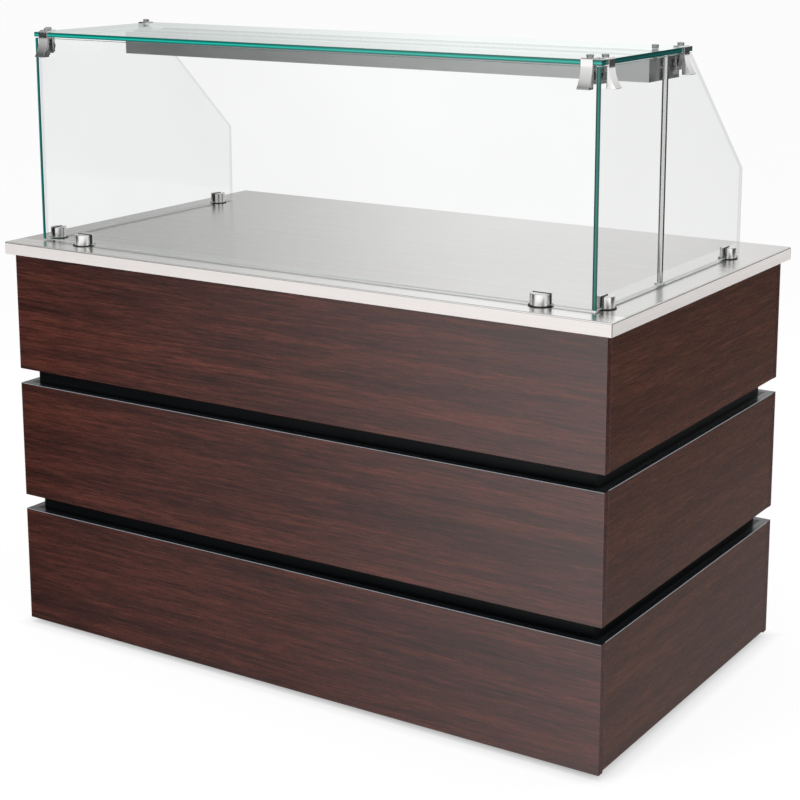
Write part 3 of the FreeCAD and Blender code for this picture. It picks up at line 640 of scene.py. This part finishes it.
# glass clamps: strap over the shelf's edge, jaw with a swoop to its toe, inner leg with a fluted screw
clamp = {"width": 0.025, "strap": 0.003, "reach": 0.022, "drop": 0.044, "toe": 0.020, "toeHeight": 0.0015,
         "legGap": 0.003, "leg": 0.004, "legDrop": 0.036, "edge": 0.0005, "cornerSteps": 4, "swoopSteps": 14}
clampScrew = {"radius": 0.009, "length": 0.006, "shank": 0.0035, "drop": 0.022, "padRadius": 0.0075,
              "pad": 0.0016, "soft": 0.0006, "flute": 0.94, "sides": 44}
clampCap = {"radius": 0.007, "height": 0.006, "flute": 0.93, "sides": 40}
# shares of a cap's radius and height, but for its soft edges
capShape = {"soft": 0.0007, "groove": 0.3, "neck": 0.88, "dishRim": 0.5, "dishFloor": 0.44,
            "dishHeight": 0.72}


# the turn about Z and the place of each clamp, which is modelled looking along X
def clampPlaces(c, g):
    half = c["width"] / 2
    acrossFront = nodeBox("front_clamps")[1].x - half
    endLow, endHigh = nodeBox("right_clamps")
    alongEnd = (endLow.y + half, endHigh.y - half)
    return {"front": [(-90, (x, g["front"], 0)) for x in (-acrossFront, acrossFront)],
            "right": [(0, (g["end"], y, 0)) for y in alongEnd],
            "left": [(180, (-g["end"], y, 0)) for y in alongEnd]}


def makeClamp(c, g):
    shelfLow, shelfTop, overhang = g["shelfLow"], g["shelfTop"], g["overhang"]
    outer = overhang + c["strap"]
    strapEnd = overhang - c["reach"]
    toeLow = shelfLow - c["drop"]
    legOuter = -g["pane"] - c["legGap"]
    legInner = legOuter - c["leg"]
    legLow = shelfLow - c["legDrop"]
    run, fall = c["toe"] - outer, c["drop"] - c["toeHeight"]
    radius = (run ** 2 + fall ** 2) / (2 * run)
    sweep = math.asin(fall / radius)
    points = [(strapEnd, shelfTop), (strapEnd, shelfTop + c["strap"])]
    for i in range(c["cornerSteps"] + 1):
        turn = math.radians(90 - 90 / c["cornerSteps"] * i)
        points.append((overhang + c["strap"] * math.cos(turn), shelfTop + c["strap"] * math.sin(turn)))
    for i in range(c["swoopSteps"] + 1):
        turn = sweep * i / c["swoopSteps"]
        points.append((outer + radius * (1 - math.cos(turn)), shelfLow - radius * math.sin(turn)))
    points += [(c["toe"] - c["toeHeight"], toeLow), (0, toeLow), (0, g["paneTop"]), (legOuter, g["paneTop"]),
               (legOuter, legLow), (legInner, legLow), (legInner, shelfLow), (overhang, shelfLow),
               (overhang, shelfTop)]
    body = objectMode(editOutline("clamp_model", points, c["width"]))
    softened(body, c["edge"], 2, 40)
    paint(body, chrome)
    return body


# every second edge of the rim is drawn in, so that the grip is fluted
def fluted(obj, radius, low, high, factor, sides):
    def inFlute(v):
        turn = math.atan2(v.co.y, v.co.x) / (2 * math.pi / sides)
        return abs(v.co.xy.length - radius) < 0.00001 and low < v.co.z < high and round(turn) % 2 == 1

    pick(obj, "verts", inFlute)
    bpy.ops.transform.resize(value=(factor, factor, 1))


def makeScrew(c, s, g):
    legBack = -g["pane"] - c["legGap"] - c["leg"]
    knobEnd = legBack - s["length"]
    soft = s["soft"]
    pad = -g["pane"] - s["pad"]
    radius = s["radius"]
    steps = [(knobEnd, radius - 2 * soft), (knobEnd + soft, radius - soft / 2),
             (knobEnd + 1.2 * soft, radius), (legBack - soft, radius), (legBack, radius - soft),
             (legBack, s["shank"]), (pad, s["shank"]), (pad, s["padRadius"]), (-g["pane"], s["padRadius"])]
    screw = editTurned("screw_model", steps, s["sides"])
    fluted(screw, radius, knobEnd, legBack, s["flute"], s["sides"])
    objectMode(screw)
    paint(screw, capSteel, gasketRubber, chooser=lambda f: 1 if f.center.z > pad - 0.0001 else 0)
    level = g["shelfLow"] - s["drop"]
    screw.data.transform(Matrix.Translation((0, 0, level)) @ Matrix.Rotation(math.radians(90), 4, "Y"))
    return screw


# a shank is (lower end, radius)
def makeCap(name, k, bottom, shank=None):
    radius, height, soft = k["radius"], k["height"], capShape["soft"]
    groove = bottom + capShape["groove"] * height
    neck = radius * capShape["neck"]
    top = bottom + height
    steps = [(bottom, radius - soft), (bottom + soft, radius), (groove, radius), (groove, neck),
             (groove + soft, neck), (groove + soft, radius), (top - soft, radius), (top, radius - soft),
             (top, radius * capShape["dishRim"]),
             (bottom + height * capShape["dishHeight"], radius * capShape["dishFloor"])]
    if shank:
        steps = [shank, (bottom, shank[1])] + steps
    cap = editTurned(name, steps, k["sides"])
    fluted(cap, radius, groove + soft / 2, top, k["flute"], k["sides"])
    objectMode(cap)
    paint(cap, chrome, capSteel, chooser=lambda f: 1 if abs(f.normal.z) < 0.3 else 0)
    return cap


def makeClamps(c, s, k, g):
    body = makeClamp(c, g)
    screw = makeScrew(c, s, g)
    cap = makeCap("cap_model", k, g["shelfTop"] + c["strap"])
    cap.data.transform(Matrix.Translation((g["overhang"] - c["reach"] / 2, 0, 0)))
    screws, caps = [], []
    for side, spots in clampPlaces(c, g).items():
        bodies = []
        for i, (angle, spot) in enumerate(spots):
            matrix = turnedTo(angle, spot)
            bodies.append(copied(body, "clamp_%s_%d" % (side, i), matrix))
            screws.append(copied(screw, "screw_%s_%d" % (side, i), matrix))
            caps.append(copied(cap, "cap_%s_%d" % (side, i), matrix))
        place(joined("clamps_" + side, bodies), "cabinet", "chrome", side + "_clamps", smooth=28)
    for model in (body, screw, cap):
        discard(model)
    place(joined("clamp_screws", screws), "cabinet", "chrome", "clamp_knobs")
    place(joined("strap_caps", caps), "cabinet", "chrome", "clamp_caps")


makeClamps(clamp, clampScrew, clampCap, guard)
print("clamps made")


# one bolt holds the light channel up to the glass shelf, with its nut inside the channel
housingBolt = {"radius": 0.007, "height": 0.008, "shank": 0.004, "nutHeight": 0.004, "nutRadius": 0.0095,
               "nutGap": 0.00002, "nutEdge": 0.0003, "nutSides": 6, "flute": 0.93, "sides": 40}


def makeHousingBolt(b, g):
    low, high = nodeBox("housing_bolt")
    middle = (low + high) / 2
    nutTop = low.z + b["nutHeight"]
    bolt = makeCap("housing_bolt_head", b, g["shelfTop"], (low.z, b["shank"]))
    bore = b["shank"] + b["nutGap"]
    steps = [(low.z, bore), (low.z, b["nutRadius"]), (nutTop, b["nutRadius"]), (nutTop, bore)]
    nut = objectMode(editTurned("housing_nut", steps, b["nutSides"], ring=True))
    softened(nut, b["nutEdge"])
    paint(nut, zinc)
    piece = joined("housing_bolt_set", [bolt, nut])
    piece.data.transform(Matrix.Translation((middle.x, middle.y, 0)))
    place(piece, "cabinet", "chrome", "housing_bolt")


makeHousingBolt(housingBolt, guard)


# wheels: a grey dished rim inside a darker tyre with a softened tread
wheel = {"radius": 0.050, "tyreHalf": 0.013, "tyreInner": 0.0405, "tyreEase": 0.0005, "soft": 0.0025,
         "softShare": 0.3, "rimStep": 0.0015, "rimEase": 0.001, "hubHalf": 0.018, "hub": 0.016,
         "bore": 0.00605, "web": 0.006, "webEase": 0.002, "webSlope": 0.006, "sides": 96}


def makeWheels(w):
    rimHalf = w["tyreHalf"] - w["rimStep"]
    cut = w["soft"] * w["softShare"]
    half = [(w["hubHalf"], w["bore"]), (w["hubHalf"], w["hub"] - w["rimEase"]),
            (w["hubHalf"] - w["rimEase"], w["hub"]), (w["web"] + w["webEase"], w["hub"] + w["webEase"]),
            (w["web"], w["hub"] + w["webSlope"]), (w["web"], w["tyreInner"] - w["webSlope"]),
            (rimHalf, w["tyreInner"] - w["rimEase"]), (rimHalf, w["tyreInner"]),
            (w["tyreHalf"], w["tyreInner"] + w["tyreEase"]), (w["tyreHalf"], w["radius"] - w["soft"]),
            (w["tyreHalf"] - cut, w["radius"] - cut), (w["tyreHalf"] - w["soft"], w["radius"])]
    steps = half + [(-height, radius) for height, radius in reversed(half)]
    model = objectMode(editTurned("wheel_model", steps, w["sides"], ring=True))

    def isTyre(face):
        return 1 if face.center.xy.length > w["tyreInner"] else 0

    paint(model, rimPlastic, tyreRubber, chooser=isTyre)
    model.data.transform(Matrix.Rotation(math.radians(90), 4, "Y"))
    for name in casters:
        low, high = nodeBox("wheel_" + name)
        copy = copied(model, "rolling_wheel_" + name, Matrix.Translation((low + high) / 2))
        place(copy, "wheel_" + name, "tyre", "wheel_" + name)
    discard(model)


makeWheels(wheel)
print("wheels made")


# flat screws in the hinge leaves, three to a leaf; a door's leaves lie inward of the hinge axis
leafScrew = {"radius": 0.0036, "rise": 0.0004, "socket": 0.0015, "socketFloor": 0.0002, "apart": 0.022,
             "inset": 0.017, "sides": 28}
hinge = {"leaf": 0.002, "halfHeight": 0.032}


def makeLeafScrews(s, h):
    axis = (nodeBox("hinge_leaves")[1].x + nodeBox("right_door_leaves")[0].x) / 2
    for node, body, sides, outward in (("hinge_leaves", "cabinet", (-1, 1), 1),
                                       ("left_door_leaves", "left_door", (-1,), -1),
                                       ("right_door_leaves", "right_door", (1,), -1)):
        steps = [(-s["rise"], s["radius"]), (s["rise"], s["radius"] - s["rise"]), (s["rise"], s["socket"]),
                 (-s["socketFloor"], s["socket"])]
        model = objectMode(editTurned("leaf_screw", steps, s["sides"]))
        model.data.transform(Matrix.Rotation(math.radians(-90), 4, "X"))
        low, high = nodeBox(node)
        copies = []
        for side in sides:
            x = side * (axis + outward * s["inset"])
            for middle in (low.z + h["halfHeight"], high.z - h["halfHeight"]):
                for i in (-1, 0, 1):
                    spot = (x, low.y + h["leaf"], middle + i * s["apart"])
                    copies.append(copied(model, "screw", Matrix.Translation(spot)))
        discard(model)
        piece = joined("leaf_screws_" + body, copies)
        paint(piece, zinc)
        rounded(piece, 32)
        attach(piece, body)


makeLeafScrews(leafScrew, hinge)
print("hinge screws made")


glass = {"clear": (0.990, 0.993, 0.992), "shelfClear": (0.95, 0.965, 0.962), "shelfSheen": 0.24,
         "sheenTint": (0.80, 0.87, 0.86), "mirrorTint": (0.95, 1.0, 0.98), "smearScale": 2.5,
         "smearShade": 0.985, "smearRough": 0.02, "arris": 0.0005, "corner": 0.002, "slopeStart": 1.104,
         "edgeDark": (0.0, 0.020, 0.020), "edgeMid": (0.0, 0.125, 0.100), "edgeLight": (0.02, 0.40, 0.32),
         "edgeStops": (0.0, 0.16, 0.42, 0.62, 1.0), "edgeGlow": 0.4, "farEdge": (0.86, 0.875, 0.875),
         "shelfShade": 0.0, "uprightShade": 0.6, "turnedShade": 0.84}


# see-through pane: straight transmission, and a reflection on the side looked at; on top, a pale haze is a
# painted sheen that stands in for reflected light
def clearGlass(name, tint, gloss, paintedSheen=0.0):
    mat, tree = startMaterial(name)
    smear = noise(tree, stretched(tree, (1, 1, 1)), glass["smearScale"], 3.0)
    tone = ramp(tree, smear, [(0.3, tuple(c * glass["smearShade"] for c in tint)), (0.7, tint)])
    through = addNode(tree, "ShaderNodeBsdfTransparent", None, Color=tone).outputs[0]
    rough = calc(tree, "MULTIPLY", smear, glass["smearRough"])
    mirror = addNode(tree, "ShaderNodeBsdfGlossy", None, Color=(*glass["mirrorTint"], 1),
                     Roughness=rough).outputs[0]
    fresnel = addNode(tree, "ShaderNodeFresnel", None, IOR=1.45).outputs[0]
    back = addNode(tree, "ShaderNodeNewGeometry").outputs["Backfacing"]
    amount = calc(tree, "MULTIPLY", calc(tree, "MULTIPLY", fresnel, gloss), calc(tree, "SUBTRACT", 1.0, back))
    if paintedSheen:
        haze = addNode(tree, "ShaderNodeBsdfDiffuse", None, Color=(*glass["sheenTint"], 1)).outputs[0]
        # painted sheen: upward faces get a pale diffuse haze, uneven with the smear
        upward = calc(tree, "GREATER_THAN", normalParts(tree)[2], 0.9)
        sheenAmount = calc(tree, "MULTIPLY", upward, calc(tree, "MULTIPLY_ADD", smear, paintedSheen * 0.3, paintedSheen * 0.85))
        through = addNode(tree, "ShaderNodeMixShader", None, i0=sheenAmount, i1=through, i2=haze).outputs[0]
    finishWith(tree, addNode(tree, "ShaderNodeMixShader", None, i0=amount, i1=through, i2=mirror).outputs[0])
    return mat


# polished edge: green where it is looked at, banded with a painted highlight down its middle and painted
# shade at its borders, and given a painted glow; a pale line where it is seen through the pane; painted shade
# darkens it by the depth given, and more on faces turned towards X
def edgeGlass(name, depth):
    mat, tree = startMaterial(name)
    uv = addNode(tree, "ShaderNodeUVMap", {"uv_map": "edge"}).outputs[0]
    across = addNode(tree, "ShaderNodeSeparateXYZ", None, i0=uv).outputs[1]
    spread = addNode(tree, "ShaderNodeMapping", None, Vector=uv, Scale=(7, 0.5, 1)).outputs[0]
    drift = noise(tree, spread, 1.0, 3.0)
    shades = [glass[key] for key in ("edgeDark", "edgeMid", "edgeLight", "edgeMid", "edgeDark")]
    shade = ramp(tree, across, list(zip(glass["edgeStops"], shades)))
    varied = mixColour(tree, calc(tree, "MULTIPLY", drift, 0.5), shade, (*glass["edgeMid"], 1))
    sideways = calc(tree, "MULTIPLY", calc(tree, "ABSOLUTE", normalParts(tree)[0]), glass["turnedShade"])
    varied = mixColour(tree, calc(tree, "MAXIMUM", sideways, depth), varied, (*glass["edgeDark"], 1))
    # painted glow: the edge emits light in its own colour, though it is no lamp
    near = principled(tree, Base_Color=varied, Roughness=0.12, IOR=1.5, Emission_Color=varied,
                      Emission_Strength=glass["edgeGlow"])
    far = addNode(tree, "ShaderNodeBsdfTransparent", None, Color=(*glass["farEdge"], 1)).outputs[0]
    back = addNode(tree, "ShaderNodeNewGeometry").outputs["Backfacing"]
    finishWith(tree, addNode(tree, "ShaderNodeMixShader", None, i0=back, i1=near, i2=far).outputs[0])
    return mat


paneClear = clearGlass("glass_clear", glass["clear"], 0.9)
shelfClear = clearGlass("glass_shelf_clear", glass["shelfClear"], 1.0, glass["shelfSheen"])
shelfEdge = edgeGlass("shelf_edge", glass["shelfShade"])
uprightEdge = edgeGlass("upright_edge", glass["uprightShade"])
# painted light: the upright panes' lower faces are painted pale, so that they and their mirror image in the
# counter read as a pale line at the glass foot
paneFootLight = plasticMaterial("glass_foot_painted_light", (0.40, 0.44, 0.43), 0.3)


# thin is the axis across the pane; cut is a point and a direction that trims a sloped corner
def makePane(name, node, thin, clear, g, cut=None):
    low, high = nodeBox(node)
    pane = editCube(name, low, high)
    if cut:
        bpy.ops.mesh.bisect(plane_co=cut[0], plane_no=cut[1], use_fill=True, clear_outer=True)
        bpy.ops.mesh.select_all(action="SELECT")
        bpy.ops.mesh.normals_make_consistent(inside=False)
    bevelEdges(pane, lambda e: runsAlong(e, thin), g["corner"], 3)
    faceEnds = (low[thin], high[thin])

    def onFace(edge):
        return any(all(abs(v.co[thin] - end) < 0.000001 for v in edge.verts) for end in faceEnds)

    bevelEdges(pane, onFace, g["arris"], 1)
    objectMode(pane)

    def paneFinish(face):
        if abs(face.normal[thin]) > 0.999:
            return 0
        return 2 if thin != 2 and face.normal.z < -0.5 else 1

    edge = shelfEdge if thin == 2 else uprightEdge
    paint(pane, clear, edge, paneFootLight, chooser=paneFinish)
    uvLayer = pane.data.uv_layers.new(name="edge")
    others = [axis for axis in range(3) if axis != thin]
    for loop in pane.data.loops:
        point = pane.data.vertices[loop.vertex_index].co
        uvLayer.data[loop.index].uv = (point[others[0]] + point[others[1]],
                                       (point[thin] - low[thin]) / (high[thin] - low[thin]))
    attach(pane, "cabinet")
    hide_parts(node)


makePane("pane_front", "front_glass", 1, paneClear, glass)
makePane("pane_shelf", "top_glass", 2, shelfClear, glass)
for side in ("left", "right"):
    _, high = nodeBox(side + "_glass")
    slopeFoot = Vector((0, high.y, glass["slopeStart"]))
    slope = Vector((0, high.y - guard["shelfRear"], glass["slopeStart"] - high.z))
    makePane("pane_" + side, side + "_glass", 0, paneClear, glass,
             (slopeFoot, Vector((0, -slope.z, slope.y)).normalized()))
print("panes made")


# what metal and lacquer mirror round the studio, as (degrees from +X, brightness)
wallBands = [(0, 0.9), (8, 0.85), (16, 0.15), (28, 0.15), (38, 0.8), (52, 0.85), (66, 1.0), (80, 0.85),
             (96, 0.75), (108, 0.82), (114, 1.05), (121, 1.02), (130, 0.62), (140, 0.56), (150, 0.8),
             (156, 0.15), (166, 0.15), (173, 0.9), (188, 1.0), (196, 0.15), (208, 0.15), (220, 0.4),
             (236, 0.9), (250, 1.1), (262, 1.0), (272, 0.75), (284, 0.75), (292, 1.05), (301, 0.6),
             (311, 0.2), (326, 0.2), (342, 1.0)]
# a mirrored brightness is kept in a ramp as a share of the strongest
strongest = 3.0


def grey(value):
    return (value, value, value)


def studioTone(tree, x, y, bands):
    compass = calc(tree, "ARCTAN2", y, x)
    turn = calc(tree, "FRACT", calc(tree, "MULTIPLY_ADD", compass, 1 / (2 * math.pi), 1.0))
    return ramp(tree, turn, [(degrees / 360, grey(value / strongest)) for degrees, value in bands])


# the floor is plain white, and the camera sees it as glowing except under the cabinet; mirrored, it brightens
# from left to right before the front, along lines that lean by skew, and gets dim beside the right end
floorTones = {"size": 160, "white": 0.86, "glow": 1.04, "glowShare": 0.86, "footprint": (0.73, 0.41),
              "fade": (-0.04, 0.05), "frontLine": -0.43, "skew": 0.75, "dimmest": -1.1, "brightest": 1.5,
              "ends": (0.0, 1.28), "middle": 0.28, "beside": (0.24, 0.06), "besideReach": (0.85, 1.9)}


def makeFloor(t):
    nothingSelected()
    bpy.ops.mesh.primitive_plane_add(size=t["size"])
    floor = bpy.context.object
    floor.name = floor.data.name = "floor"
    mat, tree = startMaterial("floor_white")
    mat.cycles.emission_sampling = "NONE"
    plain = addNode(tree, "ShaderNodeBsdfDiffuse", None, Color=(*grey(t["white"]), 1)).outputs[0]
    glow = addNode(tree, "ShaderNodeEmission", None, Color=(1, 1, 1, 1), Strength=t["glow"]).outputs[0]
    path = addNode(tree, "ShaderNodeLightPath").outputs
    coords = addNode(tree, "ShaderNodeTexCoord")
    x, y, _ = addNode(tree, "ShaderNodeSeparateXYZ", None, i0=coords.outputs["Object"]).outputs
    beyond = calc(tree, "MAXIMUM", calc(tree, "SUBTRACT", calc(tree, "ABSOLUTE", x), t["footprint"][0]),
                  calc(tree, "SUBTRACT", calc(tree, "ABSOLUTE", y), t["footprint"][1]))
    lit = addNode(tree, "ShaderNodeMapRange", None, i0=beyond, i1=t["fade"][0], i2=t["fade"][1], i3=0.0,
                  i4=t["glowShare"]).outputs[0]
    glowing = calc(tree, "MULTIPLY", path["Is Camera Ray"], lit)
    seen = addNode(tree, "ShaderNodeMixShader", None, i0=glowing, i1=plain, i2=glow).outputs[0]
    drift = calc(tree, "MULTIPLY_ADD", calc(tree, "SUBTRACT", t["frontLine"], y), t["skew"], x)
    along = addNode(tree, "ShaderNodeMapRange", None, i0=drift, i1=t["dimmest"], i2=t["brightest"]).outputs[0]
    middle = -t["dimmest"] / (t["brightest"] - t["dimmest"])
    front = ramp(tree, along, [(0.0, grey(t["ends"][0] / strongest)), (middle, grey(t["middle"] / strongest)),
                               (1.0, grey(t["ends"][1] / strongest))])
    inFront = calc(tree, "LESS_THAN", y, t["frontLine"])
    near, far = t["besideReach"]
    beside = addNode(tree, "ShaderNodeMapRange", None, i0=x, i1=near, i2=far, i3=t["beside"][0] / strongest,
                     i4=t["beside"][1] / strongest).outputs[0]
    tone = mixColour(tree, inFront, beside, front)
    studio = addNode(tree, "ShaderNodeEmission", None, Color=tone, Strength=strongest).outputs[0]
    finishWith(tree, addNode(tree, "ShaderNodeMixShader", None, i0=path["Is Glossy Ray"], i1=seen,
                             i2=studio).outputs[0])
    floor.data.materials.append(mat)


# stops are (height on the dome from 0 at the bottom to 1 at the top, brightness)
dome = {"sky": [(0.0, 0.55), (0.5, 0.92), (0.74, 0.72), (1.0, 0.6)], "skyStrength": 0.9,
        "mirrored": [(0.0, 0.4), (0.5, 1.0), (0.72, 0.84), (1.0, 0.8)]}


def makeWorld(d):
    world = bpy.data.worlds.new("studio")
    bpy.context.scene.world = world
    world.use_nodes = True
    world.cycles.sampling_method = "NONE"
    tree = world.node_tree
    tree.nodes.clear()
    coords = addNode(tree, "ShaderNodeTexCoord")
    direction = addNode(tree, "ShaderNodeSeparateXYZ", None, i0=coords.outputs["Generated"]).outputs
    height = calc(tree, "MULTIPLY_ADD", direction[2], 0.5, 0.5)
    sky = ramp(tree, height, [(level, grey(value)) for level, value in d["sky"]])
    bands = studioTone(tree, direction[0], direction[1], wallBands)
    falling = ramp(tree, height, [(level, grey(value)) for level, value in d["mirrored"]])
    mirrored = mixColour(tree, 1.0, bands, falling, "MULTIPLY")
    soft = addNode(tree, "ShaderNodeBackground", None, Color=sky, Strength=d["skyStrength"]).outputs[0]
    studio = addNode(tree, "ShaderNodeBackground", None, Color=mirrored, Strength=strongest).outputs[0]
    white = addNode(tree, "ShaderNodeBackground", None, Color=(1, 1, 1, 1), Strength=1.0).outputs[0]
    path = addNode(tree, "ShaderNodeLightPath")
    indirect = addNode(tree, "ShaderNodeMixShader", None, i0=path.outputs["Is Glossy Ray"], i1=soft,
                       i2=studio).outputs[0]
    both = addNode(tree, "ShaderNodeMixShader", None, i0=path.outputs["Is Camera Ray"], i1=indirect,
                   i2=white).outputs[0]
    out = addNode(tree, "ShaderNodeOutputWorld")
    tree.links.new(both, out.inputs["Surface"])


softBoxes = {
    "key_front": {"spot": (-1.0, -3.6, 2.0), "aim": (0.4, -0.3, 0.6), "size": (1.4, 2.0), "watts": 55},
    "side_right": {"spot": (3.2, 2.6, 2.0), "aim": (0.7, 0.0, 0.5), "size": (1.6, 2.0), "watts": 60},
    "top": {"spot": (0.0, -0.6, 3.6), "aim": (0.0, 0.0, 0.9), "size": (2.6, 2.0), "watts": 50},
}


def softBox(name, spot, aim, size, watts):
    data = bpy.data.lights.new(name, "AREA")
    data.shape = "RECTANGLE"
    data.size, data.size_y = size
    data.energy = watts
    lamp = bpy.data.objects.new(name, data)
    bpy.context.scene.collection.objects.link(lamp)
    lamp.location = spot
    lamp.rotation_mode = "QUATERNION"
    lamp.rotation_quaternion = (Vector(aim) - Vector(spot)).to_track_quat("-Z", "Y")
    lamp.visible_camera = False
    lamp.visible_glossy = False


makeFloor(floorTones)
makeWorld(dome)
for name, settings in softBoxes.items():
    softBox(name, **settings)
print("stage made")
